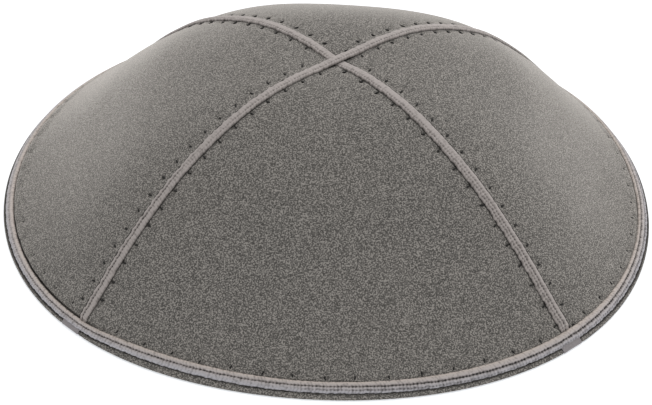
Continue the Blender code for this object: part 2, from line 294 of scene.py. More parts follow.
def cap_directions(turn, out):
    """Unit vectors on the outer face: round the cap, down the slope and square to the face."""
    turn, out = np.broadcast_arrays(np.asarray(turn, float), np.maximum(out, CROWN_CLEAR))
    level = unit(cap_point(turn + SMALL_STEP, out) - cap_point(turn - SMALL_STEP, out))
    down = unit(cap_point(turn, out + SMALL_STEP) - cap_point(turn, out - SMALL_STEP))
    return level, down, unit(np.cross(down, level))


def gore_width(turn, out, way=1):
    """How wide a gore would be at the pace found beside a place, on the side that way tells: the length of
    a small step round the cap, divided by its share of a gore."""
    step = way * SMALL_STEP
    return np.linalg.norm(cap_point(turn + step, out) - cap_point(turn, out), axis=-1) / SMALL_STEP


def inside(turn, out, depth):
    """A place under the outer face by depth. It lies square to the face, and near the rim level with it,
    so that the hem ends flat on the table."""
    square = cap_directions(turn, out)[2]
    share = smooth_step(np.asarray(out)[..., None], LEVEL_FROM, LEVEL_WAY)
    way = unit((1 - share) * square + share * unit(square * (1, 1, 0)))
    return cap_point(turn, out) - way * (depth / np.sum(way * square, axis=-1))[..., None]


def slope_lengths(turn):
    """Lengths up the outer face from the rim to the crown in even steps of out, for each turn."""
    points = cap_point(np.asarray(turn)[..., None], np.linspace(1, 0, SLOPE_STEPS + 1))
    steps = np.linalg.norm(np.diff(points, axis=-2), axis=-1)
    return np.concatenate((np.zeros(steps.shape[:-1] + (1,)), np.cumsum(steps, axis=-1)), axis=-1)


def out_above_rim(turn, above):
    """How far out a place lies that is so far above the rim along the slope: the step of the slope that it
    falls in, and its share of that step."""
    turn, above = np.broadcast_arrays(np.asarray(turn, float), np.asarray(above, float))
    lengths = slope_lengths(turn)
    row = np.clip((lengths < above[..., None]).sum(axis=-1) - 1, 0, SLOPE_STEPS - 1)[..., None]
    low, high = np.take_along_axis(lengths, row, -1), np.take_along_axis(lengths, row + 1, -1)
    return 1 - (row + (above[..., None] - low) / (high - low))[..., 0] / SLOPE_STEPS


def tape_turn(seam, out):
    """Where the tape of a seam lies: along it, and lower down a little beside it."""
    beside = np.array(SEAMS)[seam % len(SEAMS), 3]
    return seam + beside * smooth_step(out, TAPE_LEAVES_SEAM, TAPE_DRIFT)


# Where the needle goes through: two rows along each seam, and one above the rim. Lengths in metres
SEAM_STITCHES = (
    # seam, side, first one above the rim, from each to the next, distance from the seam
    (0, -1, 0.0083, 0.00530, 0.0037),
    (0, 1, 0.0109, 0.00562, 0.0022),
    (1, -1, 0.0073, 0.00595, 0.0023),
    (1, 1, 0.0054, 0.00580, 0.0031),
    (2, -1, 0.0070, 0.00510, 0.0025),
    (2, 1, 0.0100, 0.00500, 0.0034),
    (3, -1, 0.0078, 0.00560, 0.0032),
    (3, 1, 0.0104, 0.00570, 0.0022),
)
SEAM_STITCHES_END = 0.0050  # from the crown
SEAM_STITCH_FURTHEST = 0.25  # of a gore from its seam, where the seams come together
RIM_STITCH_HEIGHT = 0.0058
RIM_STITCH_PITCH = 0.0615  # of a gore, about 8 mm
RIM_STITCH_FIRST = 0.0825
RIM_STITCH_CLEAR = 0.018  # of a gore, free of stitches beside a seam
RIM_STITCH_WANDER = 0.003  # of a gore, round the rim
STITCH_WANDER = 0.00018
chance = np.random.default_rng(7)


def seam_stitch_places():
    """turn and out of each stitch along the seams. They are spaced evenly up the slope, at their row's
    distance from the seam, and stray a little."""
    turns, outs = [], []
    for seam, side, first, pitch, aside in SEAM_STITCHES:
        length = slope_lengths(float(seam))[-1]
        above = np.arange(first, length - SEAM_STITCHES_END, pitch)
        above = above + chance.uniform(-STITCH_WANDER, STITCH_WANDER, len(above))
        out = out_above_rim(float(seam), above)
        aside = aside + chance.uniform(-STITCH_WANDER, STITCH_WANDER, len(above)) / 2
        turns.append(seam + side * np.minimum(aside / gore_width(seam, out, side), SEAM_STITCH_FURTHEST))
        outs.append(out)
    return np.concatenate(turns) % len(SEAMS), np.concatenate(outs)


def rim_stitch_places():
    """turn and out of each stitch above the rim, evenly spaced round the cap and straying a little."""
    turns = np.arange(RIM_STITCH_FIRST, len(SEAMS), RIM_STITCH_PITCH)
    turns = turns[np.abs(turns - np.round(turns)) > RIM_STITCH_CLEAR]
    turns = turns + chance.uniform(-RIM_STITCH_WANDER, RIM_STITCH_WANDER, len(turns))
    above = RIM_STITCH_HEIGHT + chance.uniform(-STITCH_WANDER, STITCH_WANDER, len(turns))
    return turns, out_above_rim(turns, above)


seam_stitches = seam_stitch_places()
rim_stitches = rim_stitch_places()
stitch_points = cap_point(*np.concatenate((seam_stitches, rim_stitches), axis=1))

GORE_COLUMNS = 216
SEAM_CROWDING = 0.55  # the columns stand closer near the seams
SLOPE_ROWS = 190
RIM_ROWS = 48
RIM_ROWS_FROM = 0.88
INNER_ROWS = 43
RIM_STEP = 5 * SMALL_STEP  # of the slope, over which its length at the rim is taken
SAME_POINT = 1e-7
FOLD_RADIUS = 0.00040
INNER_FOLD_RADIUS = 0.0008
HEM_BEND_STEPS = 7
HEM_FOOT_STEPS = 4
HEM_WALL_STEPS = 11
HEM_WALL_END = 0.0004  # below the hem's height
# The cut edge of the suede that is turned up inside, from the hem's thick part to the single suede
CUT_EDGE = (
    # height from the hem's, thickness left as a share, pressed in
    (-0.0002, 0.97, 0.0),
    (0.0001, 0.75, 0.0),
    (0.0002, 0.25, 0.0),
    (0.0004, 0.00, 0.0),
)
SEAM_BED = (0.00030, 0.0004, 0.0007)  # depth, how far in it is full, and length of its sides
STITCH_LINE = (0.00010, 0.0026, 0.0008)  # depth, distance from the seam and half width
SEAM_SWELL = (0.00010, 0.0055, 0.0026)
RIM_BED = (0.00055, 0.00060)  # depth and length of its sides
HEM_ROLL = (0.00025, 0.0008, 0.0009)  # below the rim braid the folded edge is round and thick
HEM_SWELL = (0.00010, 0.00040, 0.0016, 0.0015)  # least, most, distance above the rim braid and half width
RIM_GAP = (0.00065, 0.00030, 0.00030)  # and the gap that opens there: depth, distance and half width
CREVICE = 0.00035  # painted shade: the suede's colour is darkened along the braids' edges, fading over this width
RIM_CREVICE = 0.00080  # and further above the rim braid, where the suede swells out over it
DIMPLE = (0.00040, 0.00055)  # depth and radius at each stitch
PULL = (0.00012, 0.0016)  # and the wider hollow round it
NOTCH_EDGE = 0.00025
NOTCH_SINK = TAPE_THICKNESS + 0.0001
UNEVEN = 0.00008
UNEVEN_WAVES = (
    # start, and radians a metre along x, y and z
    (0.0, 210.0, 60.0, 90.0),
    (1.7, -95.0, 240.0, 40.0),
    (4.1, 120.0, 110.0, -160.0),
)


def bell(distance, width):
    """A bell curve: e to the power of minus the square of distance over width."""
    return np.exp(-((distance / width) ** 2))


def unevenness(points):
    """Soft hand-made waviness: three crossed sine waves of 24 to 28 mm, each along its own direction."""
    waves = [np.sin(start + points @ np.array(way)) for start, *way in UNEVEN_WAVES]
    return sum(waves) / len(UNEVEN_WAVES)


def beside_seams(turn, out, seam):
    """How far a place lies from the nearer of its gore's two seams, and from the nearer braid's edge."""
    points = cap_point(turn, out)
    beside = [np.linalg.norm(points - cap_point(number, out), axis=-1) for number in (seam, seam + 1)]
    from_edge = [away - seam_braid_width(seam + number, out) / 2 for number, away in enumerate(beside)]
    return np.minimum(*beside), np.minimum(*from_edge)


def relief(turn, out, above, seam):
    """How far the suede stands proud of the plain form. It is pressed in under the braids, drawn in at the
    line of stitches and at each stitch, and swells beside them and at the hem's roll. Where it swells over
    the rim braid, a gap opens between the two. Each is a bell curve or a smooth step of the distance."""
    points = cap_point(turn, out)
    beside, from_edge = beside_seams(turn, out, seam)
    height = -SEAM_BED[0] * (1 - smooth_step(from_edge, -SEAM_BED[1], SEAM_BED[2]))
    height = height - STITCH_LINE[0] * bell(beside - STITCH_LINE[1], STITCH_LINE[2])
    height = height + SEAM_SWELL[0] * bell(beside - SEAM_SWELL[1], SEAM_SWELL[2])
    below, wide, swell = rim_braid_place(turn)
    from_braid = np.abs(above - below - wide / 2) - wide / 2
    bed = RIM_BED[0] * (1 - smooth_step(from_braid, -RIM_BED[1], RIM_BED[1]))
    height = np.minimum(height, -bed) + HEM_ROLL[0] * bell(above - HEM_ROLL[1], HEM_ROLL[2])
    rise = HEM_SWELL[0] + swell * (HEM_SWELL[1] - HEM_SWELL[0])
    height = height + rise * bell(above - below - wide - HEM_SWELL[2], HEM_SWELL[3])
    height = height - swell * RIM_GAP[0] * bell(above - below - wide - RIM_GAP[1], RIM_GAP[2])
    height = height + UNEVEN * unevenness(points) * smooth_step(above, HEM_HEIGHT / 2, HEM_HEIGHT / 4)
    for stitch in stitch_points:
        distance = np.linalg.norm(points - stitch, axis=-1)
        height = height - DIMPLE[0] * bell(distance, DIMPLE[1]) - PULL[0] * bell(distance, PULL[1])
    return height


def painted_crevice_shade(turn, out, above, seam):
    """Painted shade, darkening the suede's colour where shade falls: 1 under the braids and beside their
    edges, fading over the crevice. Above the rim braid the crevice only opens where the suede swells out
    over it."""
    from_edge = beside_seams(turn, out, seam)[1]
    below, wide, swell = rim_braid_place(turn)
    under_rim = 1 - smooth_step(below - above, 0, CREVICE)
    opens = RIM_CREVICE * (2 * swell - 1)
    under_rim = under_rim * (1 - smooth_step(above - below - wide, opens, CREVICE))
    return np.maximum(1 - smooth_step(from_edge, CREVICE / 3, CREVICE), under_rim)


def notch(turn, above, seam):
    """How deep the hem is pressed in under the ends of the tapes: 1 under a tape, 0 beside it."""
    beside = [np.abs(turn - tape_turn(number, 1.0)) * gore_width(turn, 1.0) for number in (seam, seam + 1)]
    under = 1 - smooth_step(np.minimum(*beside), TAPE_WIDTH / 2, NOTCH_EDGE)
    return under * (1 - smooth_step(above, rim_braid_place(turn)[0] + TAPE_TUCK, NOTCH_EDGE))


def add_piece(name, points, faces, material, attributes=None, sharp=math.radians(60)):
    """A smooth-shaded object at the origin, with doubled points made one. attributes holds a number for
    each point, by name."""
    mesh = bpy.data.meshes.new(name)
    mesh.from_pydata(points.reshape(-1, 3), [], faces)
    for label, values in (attributes or {}).items():
        mesh.attributes.new(label, "FLOAT", "POINT").data.foreach_set("value", values.ravel())
    shape = bmesh.new()
    shape.from_mesh(mesh)
    bmesh.ops.remove_doubles(shape, verts=shape.verts, dist=SAME_POINT)
    shape.to_mesh(mesh)
    shape.free()
    mesh.materials.append(material)
    mesh.shade_smooth()
    mesh.set_sharp_from_angle(angle=sharp)
    piece = bpy.data.objects.new(name, mesh)
    bpy.context.collection.objects.link(piece)
    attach(piece, "root")
    return piece


def grid_faces(rows, columns, closed_rows=False, closed_columns=False):
    """Four-sided faces of a grid whose points are numbered row by row. It may close on itself."""
    numbers = np.arange(rows * columns).reshape(rows, columns)
    if closed_rows:
        numbers = np.concatenate((numbers, numbers[:1]))
    if closed_columns:
        numbers = np.concatenate((numbers, numbers[:, :1]), axis=1)
    corners = (numbers[:-1, :-1], numbers[1:, :-1], numbers[1:, 1:], numbers[:-1, 1:])
    return np.stack(corners, axis=-1).reshape(-1, 4)


def hem_section():
    """The way round the hem from the outer face to the inner one, as height above the rim, depth under the
    outer face and how much a tape's end presses it in: a quarter circle, the flat foot, a larger quarter
    circle, the inner face and the cut edge of the turned suede."""
    bend = np.linspace(0, math.pi / 2, HEM_BEND_STEPS + 1)[1:]
    ending, beginning = 1 - np.sin(bend), 1 - np.cos(bend)
    outer = np.stack((FOLD_RADIUS * ending, FOLD_RADIUS * beginning, 1 + 0 * bend), axis=-1)
    foot_depths = np.linspace(FOLD_RADIUS, HEM_THICKNESS - INNER_FOLD_RADIUS, HEM_FOOT_STEPS + 1)[1:]
    foot = np.stack((0 * foot_depths, foot_depths, 1 + 0 * foot_depths), axis=-1)
    inner_depths = HEM_THICKNESS - INNER_FOLD_RADIUS * ending
    inner = np.stack((INNER_FOLD_RADIUS * beginning, inner_depths, ending), axis=-1)
    heights = np.linspace(INNER_FOLD_RADIUS, HEM_HEIGHT - HEM_WALL_END, HEM_WALL_STEPS + 1)[1:]
    wall = np.stack((heights, HEM_THICKNESS + 0 * heights, 0 * heights), axis=-1)
    edge = np.array(CUT_EDGE) * (1, HEM_THICKNESS - SUEDE, 1) + (HEM_HEIGHT, SUEDE, 0.0)
    return np.concatenate((outer, foot, inner, wall, edge))


def gore_points(seam):
    """The gore between a seam and the next as one grid: down the outer face, round the hem and up the
    inner face, a row at each height and a column at each share of the way from seam to seam."""
    even = np.linspace(0, 1, GORE_COLUMNS + 1)
    turn = seam + even - SEAM_CROWDING / (2 * np.pi) * np.sin(2 * np.pi * even)
    reach = np.linalg.norm(cap_point(turn, 1.0) - cap_point(turn, 1 - RIM_STEP), axis=-1) / RIM_STEP

    upper = np.linspace(0, RIM_ROWS_FROM, SLOPE_ROWS + 1)[:-1]
    rows = np.concatenate((upper, np.linspace(RIM_ROWS_FROM, 1, RIM_ROWS + 1)))
    out = rows[:, None] * (1 - FOLD_RADIUS / reach)
    turns = np.broadcast_to(turn, out.shape)
    plain = cap_point(turns, out)
    lengths = np.linalg.norm(np.diff(plain, axis=0), axis=-1)[::-1]
    above = np.concatenate((np.cumsum(lengths, axis=0)[::-1], 0 * turn[None])) + FOLD_RADIUS
    proud = relief(turns, out, above, seam) - NOTCH_SINK * notch(turns, above, seam)
    outer = inside(turns, out, -proud)

    section = hem_section()
    pressed = section[:, 2:] * notch(turn, 0.0, seam)
    hem_above = section[:, :1] + NOTCH_SINK * pressed * (section[:, 1:2] > FOLD_RADIUS / 2)
    hem_depth = section[:, 1:2] + NOTCH_SINK * pressed * (section[:, :1] > 0)
    hem_depth = np.minimum(hem_depth, HEM_THICKNESS)
    hem = inside(np.broadcast_to(turn, hem_above.shape), 1 - hem_above / reach, hem_depth)

    inner_rows = np.linspace(1, 0, INNER_ROWS + 1)[1:, None]
    inner_out = inner_rows * (1 - hem_above[-1] / reach)
    inner = inside(np.broadcast_to(turn, inner_out.shape), inner_out, np.full(inner_out.shape, SUEDE))

    # Half the clearance comes off along both seams, and off the tip where they meet.
    start, end = seam_azimuth(seam, 0.0), seam_azimuth(seam + 1, 0.0)
    middle = (start + end) / 2
    tip = GAP / 2 / math.sin((end - start) / 2) * np.array((math.cos(middle), math.sin(middle), 0.0))
    points = np.concatenate((outer, hem, inner))
    outs = np.concatenate((out, 1 - hem_above / reach, inner_out))
    for column, way in ((0, 1), (-1, -1)):
        sideways = cap_directions(turn[column], outs[:, column])[0] * (1, 1, 0)
        points[:, column] += way * GAP / 2 * unit(sideways)
    points[0] = cap_point(seam, 0.0) + tip - (0, 0, SEAM_BED[0])
    points[-1] = cap_point(seam, 0.0) + tip - (0, 0, SUEDE)

    # painted shade on the outer face, under the braids and along their edges
    painted_shade = np.zeros(points.shape[:2])
    painted_shade[:len(out)] = painted_crevice_shade(turns, out, above, seam)
    return points, painted_shade


def make_suede():
    """Split suede: short loose nap, brushed this way and that, so it is quite matt, pale at grazing angles
    and speckled. Its fibres stand in tufts about 0.3 mm wide, over mottling of 2.5 mm and clouds of 25 mm
    where a hand has brushed the nap, with some dark flecks."""
    material = new_material("split_suede")
    place = add(material, "TexCoord").outputs["Object"]
    tufts = add(material, "TexNoise", {"Vector": place, "Scale": 1 / 0.00034, "Detail": 0.5}).outputs[0]
    mottle = add(material, "TexNoise", {"Vector": place, "Scale": 1 / 0.0025, "Roughness": 0.6}).outputs[0]
    clouds = add(material, "TexNoise", {"Vector": place, "Scale": 1 / 0.025, "Roughness": 0.6}).outputs[0]
    flecks = add(material, "TexNoise", {"Vector": place, "Scale": 1 / 0.0013, "Detail": 1.0}).outputs[0]
    nap_stops = ((0.34, "#262422"), (0.50, "#726f6b"), (0.66, "#c3bdb6"))
    nap = add(material, "ValToRGB", {0: tufts}, stops=nap_stops).outputs[0]
    patches = add(material, "ValToRGB", {0: mottle}, stops=((0.30, "#6b6965"), (0.70, "#8f8b86"))).outputs[0]
    mottled = add(material, "Mix", {0: 0.30, 6: nap, 7: patches}, data_type="RGBA").outputs[2]
    brushed = add(material, "ValToRGB", {0: clouds}, stops=((0.30, "#757370"), (0.70, "#84807b"))).outputs[0]
    clouded = add(material, "Mix", {0: 0.20, 6: mottled, 7: brushed}, data_type="RGBA").outputs[2]
    dark = add(material, "MapRange", {"Value": flecks, "From Min": 0.22, "From Max": 0.17}).outputs[0]
    speckled = add(material, "Mix", {0: dark, 6: clouded, 7: linear("#3a3937")}, data_type="RGBA").outputs[2]
    # painted shade: near-black #1d1c1b mixed into the suede's colour under the braids and along their edges
    painted_shade = add(material, "Attribute", attribute_name="painted_shade").outputs["Fac"]
    shade_share = add(material, "Math", {0: painted_shade, 1: 0.9}, operation="MULTIPLY").outputs[0]
    colour = add(material, "Mix", {0: shade_share, 6: speckled, 7: linear("#1d1c1b")}, data_type="RGBA").outputs[2]
    rough = add(material, "Bump", {"Height": tufts, "Strength": 0.7, "Distance": 0.00012}).outputs[0]
    surface = add(
        material,
        "BsdfPrincipled",
        {
            "Base Color": colour,
            "Roughness": 1.0,
            "Specular IOR Level": 0.1,
            "Sheen Weight": 1.0,
            "Sheen Roughness": 0.36,
            "Sheen Tint": linear("#fff8f1"),
            "Normal": rough,
        },
    )
    finish_material(material, surface)
    return material


suede = make_suede()
for seam, name in enumerate(("front", "right", "back", "left")):
    points, painted_shade = gore_points(seam)
    rows, columns = painted_shade.shape
    faces = grid_faces(rows, columns).tolist()
    sides = np.arange(rows * columns).reshape(rows, columns)
    faces += [sides[:, 0].tolist(), sides[::-1, -1].tolist()]
    gore = add_piece("suede_gore_" + name, points, faces, suede, {"painted_shade": painted_shade})
    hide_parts("gore_" + name)

# The braids over the seams and round the rim
# Rayon soutache: cords side by side, wound over with fine thread in a herringbone, so that each rib is
# ridged slantwise and small gaps show in its grooves, darkened with painted shade. It is sewn down through
# them.
SEAM_BRAID_THICKNESS = 0.0008
RIM_BRAID_THICKNESS = 0.0010
SEAM_THREAD_PITCH = 0.00085
RIM_THREAD_PITCH = 0.00090
STATIONS_PER_THREAD = 5
ACROSS_POINTS = 27
THREAD_RELIEF = 0.07  # depth between two threads, as a share of the braid's thickness
THREAD_SLANT = 0.9  # of a thread's pitch, for half the braid's width
THREAD_ROUNDNESS = 0.6  # the lower, the flatter its top and the narrower the dip beside it
GROOVE_WIDTH = 0.17  # of half the braid's width
BEADS = 0.50  # sewing thread in a seam braid's groove, as a share of the groove's depth
RIM_BEADS = 0.40  # and in the rim braid's
BEADS_STRAY = 0.20  # of a thread's pitch
BEAD_ROUNDNESS = 1.5
UNDERSIDE_WIDTH = 0.80  # of the braid's width
HOLLOW_GROOVE = 1.5  # painted shade: how much darker a place is coloured in a groove, between two threads and at an edge
HOLLOW_THREAD = 0.30
HOLLOW_EDGE = 0.8
HAND_LAID = 0.00018  # how far a seam braid's edges stray, as it is sewn down by hand
RIM_HAND_LAID = 0.00010
HAND_WAVES = (0.0017, 0.0030, 0.0070)
BRAID_SINK = 0.00015  # its underside lies in its bed in the suede
RIM_BRAID_SINK = 0.00035
CROSSING_RISE = 0.00060
CROSSING_FLAT = 0.0014
CROSSING_SLOPE = 0.0060
UNDER_PRESS = 0.40  # how much thinner the lower braid is at the crossing, and the upper one
OVER_PRESS = 0.10
CROSSING_SINK = 0.00010
SEAM_BRAID_END = 0.35  # under the rim braid, as a share of its width
TUCK_SINK = 0.00045  # a seam braid's end dives under the rim braid
TUCK_LENGTH = 0.0012
TUCK_PRESS = 0.4

# Where the grooves run, from -1 at one edge to 1 at the other, and how deep they are as shares of the
# thickness, by the share of the way along the braid. The crossing is at about 0.5
OVER_GROOVES = (
    # share, groove, depth, other groove, depth
    (0.00, 0.16, 0.55, -0.40, 0.00),
    (0.18, 0.16, 0.55, -0.40, 0.05),
    (0.30, 0.10, 0.12, -0.38, 0.25),
    (0.50, 0.10, 0.02, -0.40, 0.30),
    (1.00, 0.10, 0.00, -0.45, 0.30),
)
UNDER_GROOVES = (
    # share, groove, depth, other groove, depth
    (0.00, 0.56, 0.38, -0.04, 0.45),
    (0.20, 0.56, 0.38, -0.04, 0.40),
    (0.30, 0.54, 0.32, -0.04, 0.06),
    (0.50, 0.52, 0.28, -0.04, 0.02),
    (1.00, 0.50, 0.28, -0.04, 0.00),
)
RIM_GROOVES = (
    # share, groove, depth, other groove, depth
    (0.000, 0.11, 0.50, -0.45, 0.08),
    (0.110, 0.11, 0.50, -0.45, 0.12),
    (0.150, 0.13, 0.50, -0.44, 0.40),
    (0.190, -0.04, 0.65, -0.69, 0.30),
    (0.270, 0.00, 0.65, -0.65, 0.25),
    (0.330, 0.38, 0.65, -0.40, 0.45),
    (0.450, 0.36, 0.50, -0.45, 0.30),
    (0.750, 0.05, 0.40, -0.60, 0.05),
    (0.900, 0.10, 0.25, -0.50, 0.05),
    (1.000, 0.11, 0.50, -0.45, 0.08),
)


def hand_laid(along, start):
    """How far an edge strays at each station: half the sum of sine waves of about 1.7, 3 and 7 mm, which
    all begin at the angle start."""
    length = along[-1] - along[0]
    share = (along - along[0]) / length
    waves = [np.sin(2 * np.pi * round(length / wave) * share + start) for wave in HAND_WAVES]
    return sum(waves) / 2


def braid_section(along, pitch, grooves, beads):
    """The braid's outline at each station, as across and up, and how much painted shade each point takes.
    From edge to edge it is an arch, the square root of 1 less the fourth power of across, and it falls into
    each groove as a bell curve. The threads slant away from the nearest groove, and a point lies further in
    between two of them, where the sine of its distance along is near zero. Beads of sewing thread fill the
    grooves in part, with painted shade in the gaps between them. The painted shade adds up a point's depth
    in a groove, between two threads and at an edge, where shade falls."""
    shares, *columns = np.array(grooves).T
    share = (along - along[0]) / (along[-1] - along[0])
    first, depth, second, second_depth = [through(shares, column, share)[:, None] for column in columns]
    across = np.sin(np.linspace(-np.pi / 2, np.pi / 2, ACROSS_POINTS)) + 0 * first
    from_grooves = np.abs(across - first), np.abs(across - second)
    thread = np.sin(np.pi * (along[:, None] / pitch + THREAD_SLANT * np.minimum(*from_grooves)))
    thread = np.abs(thread) ** THREAD_ROUNDNESS
    bead = np.abs(np.sin(np.pi * (along / pitch + BEADS_STRAY * hand_laid(along, 1.0))))
    bead = bead[:, None] ** BEAD_ROUNDNESS
    groove = np.maximum(depth * bell(from_grooves[0], GROOVE_WIDTH), 0)
    groove = np.maximum(second_depth * bell(from_grooves[1], GROOVE_WIDTH), groove)
    groove = groove * (1 - beads * bead)
    arch = np.sqrt(1 - across**4)
    up = arch * (1 - THREAD_RELIEF * (1 - thread)) * (1 - groove)
    # painted shade: a point is coloured darker the deeper it lies in a groove, between threads and towards
    # the edges
    hollow_shade = HOLLOW_GROOVE * groove + HOLLOW_THREAD * (1 - thread) + HOLLOW_EDGE * (1 - arch) ** 2
    hollow_shade = np.clip(hollow_shade, 0, 1)
    base = UNDERSIDE_WIDTH * np.array((1, -1)) + 0 * first
    across = np.concatenate((across, base), axis=1)
    up = np.concatenate((up, 0 * base), axis=1)
    hollow_shade = np.concatenate((hollow_shade, 1 + 0 * base), axis=1)
    return across, up, hollow_shade


def make_rayon(name, light, middle, dark, warm, cool):
    """Twisted rayon: smooth filaments with a soft sheen, unevenly worn over about a millimetre, with painted
    shade between the turns of the thread. Its two long sides may take a painted warm tint of light and a
    cool tint of shade."""
    material = new_material(name)
    place = add(material, "TexCoord").outputs["Object"]
    # painted shade: this attribute darkens the thread's colour in its grooves, between its threads and at
    # its edges
    hollow_shade = add(material, "Attribute", attribute_name="hollow_shade").outputs["Fac"]
    edge_side = add(material, "Attribute", attribute_name="upper_side").outputs["Fac"]
    worn = add(material, "TexNoise", {"Vector": place, "Scale": 1 / 0.0009, "Detail": 2.0}).outputs["Fac"]
    fibres = add(material, "TexNoise", {"Vector": place, "Scale": 1 / 0.00022, "Detail": 1.0}).outputs["Fac"]
    spread = add(material, "Math", {0: worn, 1: -0.5}, operation="ADD").outputs[0]
    moved = add(material, "Math", {0: spread, 1: 1.1, 2: hollow_shade}, operation="MULTIPLY_ADD").outputs[0]
    # the dark stop is the colour of the painted shade
    thread_stops = ((0.10, light), (0.45, middle), (0.95, dark))
    threads = add(material, "ValToRGB", {0: moved}, stops=thread_stops).outputs[0]
    # painted light and shade: the upper side is tinted warm as if lit and the lower side cool as if shaded
    painted_side_light = add(material, "ValToRGB", {0: edge_side}, stops=((0.0, cool), (1.0, warm))).outputs[0]
    both = {0: 1.0, 6: threads, 7: painted_side_light}
    tinted = add(material, "Mix", both, data_type="RGBA", blend_type="MULTIPLY").outputs[2]
    rough = add(material, "Bump", {"Height": fibres, "Strength": 0.4, "Distance": 0.00005}).outputs[0]
    surface = add(
        material,
        "BsdfPrincipled",
        {
            "Base Color": tinted,
            "Roughness": 0.68,
            "Specular IOR Level": 0.2,
            "Sheen Weight": 0.05,
            "Sheen Roughness": 0.4,
            "Normal": rough,
        },
    )
    finish_material(material, surface)
    return material


def tube_faces(stations, corners, closed=False):
    """Faces of an outline carried from station to station, which meets itself or is capped at both ends."""
    faces = grid_faces(stations, corners, closed_rows=closed, closed_columns=True).tolist()
    if not closed:
        ends = np.arange(stations * corners).reshape(stations, corners)
        faces += [ends[0].tolist(), ends[-1, ::-1].tolist()]
    return faces


def add_braid(name, path, side, square, section, width, thickness, material, closed=False):
    """Carries the braid's outline along a path, across by side and up by square. Its width and thickness
    may differ from station to station."""
    across, up, hollow_shade = section
    points = (
        path[:, None]
        + (across * np.reshape(width, (-1, 1)) / 2)[..., None] * side[:, None]
        + (up * np.reshape(thickness, (-1, 1)))[..., None] * square[:, None]
    )
    faces = tube_faces(*hollow_shade.shape, closed)
    upper_side = (across + 1) / 2
    return add_piece(name, points, faces, material, {"hollow_shade": hollow_shade, "upper_side": upper_side})


def seam_braid(name, node, seam, rise, press, grooves, material):
    """A braid over a seam, the crown and the opposite seam, at even steps along the suede. At the crossing
    it rises, or is pressed flat. Its ends dive under the rim braid."""
    end = RIM_MARGIN + RIM_BRAID_WIDTH * SEAM_BRAID_END
    lengths = np.array([slope_lengths(float(number))[-1] for number in (seam, seam + 2)])
    step = SEAM_THREAD_PITCH / STATIONS_PER_THREAD
    along = np.arange(end - lengths[0], lengths[1] - end, step)
    number = np.where(along < 0, seam, seam + 2)
    above = np.where(along < 0, lengths[0], lengths[1]) - np.abs(along)
    out = out_above_rim(number.astype(float), above)
    square = cap_directions(number, out)[2]
    crossing = 1 - smooth_step(np.abs(along), CROSSING_FLAT, CROSSING_SLOPE)
    below, wide = rim_braid_place(number)[:2]
    tuck = 1 - smooth_step(above, below + wide, TUCK_LENGTH)
    lift = rise * crossing - BRAID_SINK - TUCK_SINK * tuck
    path = cap_point(number, out) + square * lift[:, None]
    side = unit(np.cross(square, np.gradient(path, axis=0)))
    thickness = SEAM_BRAID_THICKNESS * (1 - press * crossing) * (1 - TUCK_PRESS * tuck)
    section = braid_section(along, SEAM_THREAD_PITCH, grooves, BEADS)
    width = seam_braid_width(number, out) + HAND_LAID * hand_laid(along, seam + 0.7)
    path = path + side * (HAND_LAID / 2 * hand_laid(along, seam))[:, None]
    braid = add_braid(name, path, side, square, section, width, thickness, material)
    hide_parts(node)


# the darkest colour is the painted shade in the braid's grooves and between its threads
rayon = make_rayon("twisted_rayon", "#b9b1ad", "#948d89", "#4b4947", "#ffffff", "#ffffff")
seam_braid("soutache_under", "seam_braid_under", 1, -CROSSING_SINK, UNDER_PRESS, UNDER_GROOVES, rayon)
seam_braid("soutache_over", "seam_braid_over", 0, CROSSING_RISE, OVER_PRESS, OVER_GROOVES, rayon)

# The rim braid
# The same soutache in its wider kind, one closed ring a little above the hem's edge. It is sewn on last,
# over the ends of the seam braids and of the tapes. A whole number of threads goes round.
RIM_TRIAL_STEPS = 2000
rough_turns = np.linspace(0, len(SEAMS), RIM_TRIAL_STEPS + 1)
below, wide = rim_braid_place(rough_turns)[:2]
rough_path = cap_point(rough_turns, out_above_rim(rough_turns, below + wide / 2))
lengths = np.concatenate(([0], np.cumsum(np.linalg.norm(np.diff(rough_path, axis=0), axis=-1))))
threads = round(lengths[-1] / RIM_THREAD_PITCH)
pitch = lengths[-1] / threads
along = np.arange(threads * STATIONS_PER_THREAD) * pitch / STATIONS_PER_THREAD
turns = np.interp(along, lengths, rough_turns)
below, wide = rim_braid_place(turns)[:2]
outs = out_above_rim(turns, below + wide / 2)
down, square = cap_directions(turns, outs)[1:]
# painted light and shade: a warm tint along the braid's upper side and a cool one along its lower side; the
# darkest colour is painted shade in the grooves
rim_rayon = make_rayon("twisted_rayon_rim", "#d2ccc9", "#a39d9a", "#3c3b38", "#fdf6ef", "#e8edf8")
rim_path = cap_point(turns, outs) - square * RIM_BRAID_SINK
rim_path = rim_path + down * (RIM_HAND_LAID / 2 * hand_laid(along, 2.0))[:, None]
rim_section = braid_section(along, pitch, RIM_GROOVES, RIM_BEADS)
rim_width = wide + RIM_HAND_LAID * hand_laid(along, 2.7)
rim_braid = add_braid(
    "soutache_rim",
    rim_path,
    -down,
    square,
    rim_section,
    rim_width,
    RIM_BRAID_THICKNESS,
    rim_rayon,
    closed=True,
)
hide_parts("rim_braid")

# The stitches
# Dark cotton thread, waxed, sewn by hand: of each stitch only a short prick shows in its dimple, across
# the seam or up the slope above the rim. They hold the tapes and the hem inside.
STITCH_LENGTH = 0.0012
STITCH_LENGTHS = (0.8, 1.25)  # the shortest and the longest, as shares of it
STITCH_THICKNESS = 0.00045
STITCH_DEPTH = 0.00026
STITCH_TILT = math.radians(28)
SPINDLE_RINGS = 9
SPINDLE_SIDES = 8
SPINDLE_TAPER = 0.7


